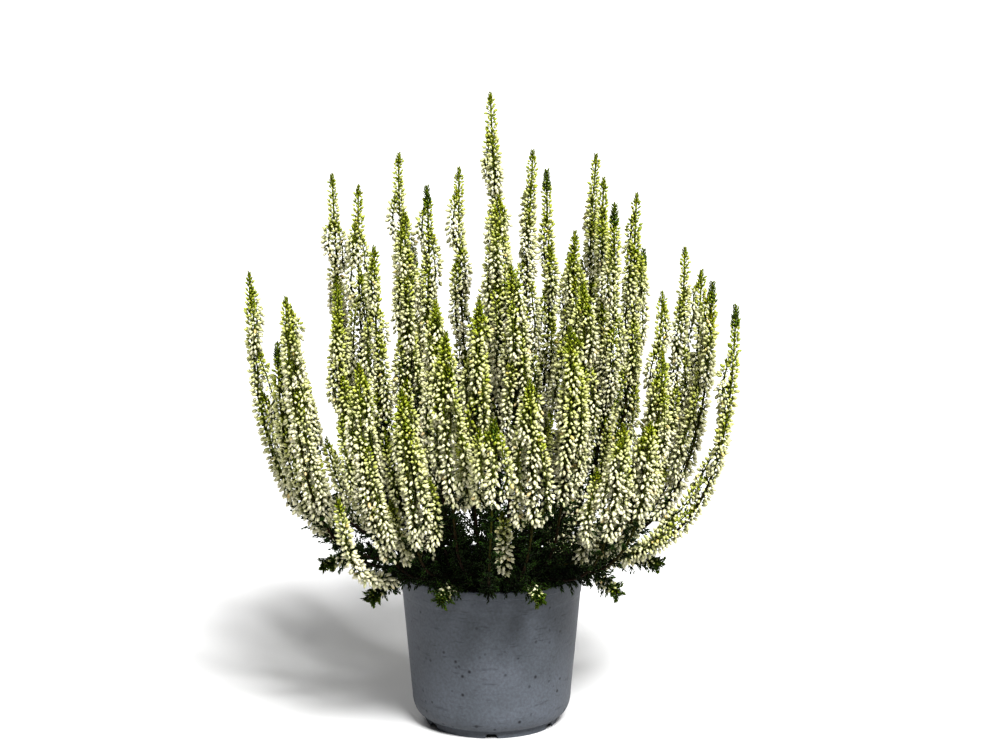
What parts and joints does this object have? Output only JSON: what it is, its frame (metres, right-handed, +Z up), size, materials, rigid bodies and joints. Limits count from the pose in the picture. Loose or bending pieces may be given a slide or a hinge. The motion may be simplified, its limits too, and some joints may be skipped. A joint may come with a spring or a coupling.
{
  "type": "potted heather",
  "caption": "Bushy potted heather: upright spikes of cream buds over dark green scale foliage, in a round tapered dark grey nursery pot with a flat base to stand on.",
  "frame": {"origin": "centre of the pot's flat underside, on the surface that the pot stands on", "axes": "+Z up along the pot's axis; the plant's front, the side that the picture shows, faces -Y"},
  "size_m": [0.2896, 0.285, 0.3756],
  "materials": {
    "pot_plastic": "matte",
    "potting_soil": "matte",
    "cream_buds": "matte",
    "heather_green": "matte"
  },
  "bodies": {
    "root": {"pot": "pot_plastic", "soil": "potting_soil", "shoot_01": "cream_buds", "shoot_02": "cream_buds", "shoot_03": "cream_buds", "shoot_04": "cream_buds", "shoot_05": "cream_buds", "shoot_06": "cream_buds", "shoot_07": "cream_buds", "shoot_08": "cream_buds", "shoot_09": "cream_buds", "shoot_10": "cream_buds", "shoot_11": "cream_buds", "shoot_12": "cream_buds", "shoot_13": "cream_buds", "shoot_14": "cream_buds", "shoot_15": "cream_buds", "shoot_16": "cream_buds", "shoot_17": "cream_buds", "shoot_18": "cream_buds", "shoot_19": "cream_buds", "shoot_20": "cream_buds", "shoot_21": "cream_buds", "shoot_22": "cream_buds", "shoot_23": "cream_buds", "shoot_24": "cream_buds", "shoot_25": "cream_buds", "shoot_26": "cream_buds", "shoot_27": "cream_buds", "shoot_28": "cream_buds", "shoot_29": "cream_buds", "shoot_30": "cream_buds", "shoot_31": "cream_buds", "shoot_32": "cream_buds", "shoot_33": "cream_buds", "shoot_34": "cream_buds", "shoot_35": "cream_buds", "shoot_36": "cream_buds", "shoot_37": "cream_buds", "shoot_38": "cream_buds", "shoot_39": "cream_buds", "shoot_40": "cream_buds", "shoot_41": "cream_buds", "shoot_42": "cream_buds", "shoot_43": "cream_buds", "shoot_44": "cream_buds", "low_sprig_1": "cream_buds", "low_sprig_2": "cream_buds", "low_sprig_3": "cream_buds", "low_sprig_4": "cream_buds", "low_sprig_5": "cream_buds", "skirt_spray_1": "heather_green", "skirt_spray_2": "heather_green", "skirt_spray_3": "heather_green", "skirt_spray_4": "heather_green", "skirt_spray_5": "heather_green", "skirt_spray_6": "heather_green", "skirt_spray_7": "heather_green", "skirt_spray_8": "heather_green"}
  },
  "joints": []
}
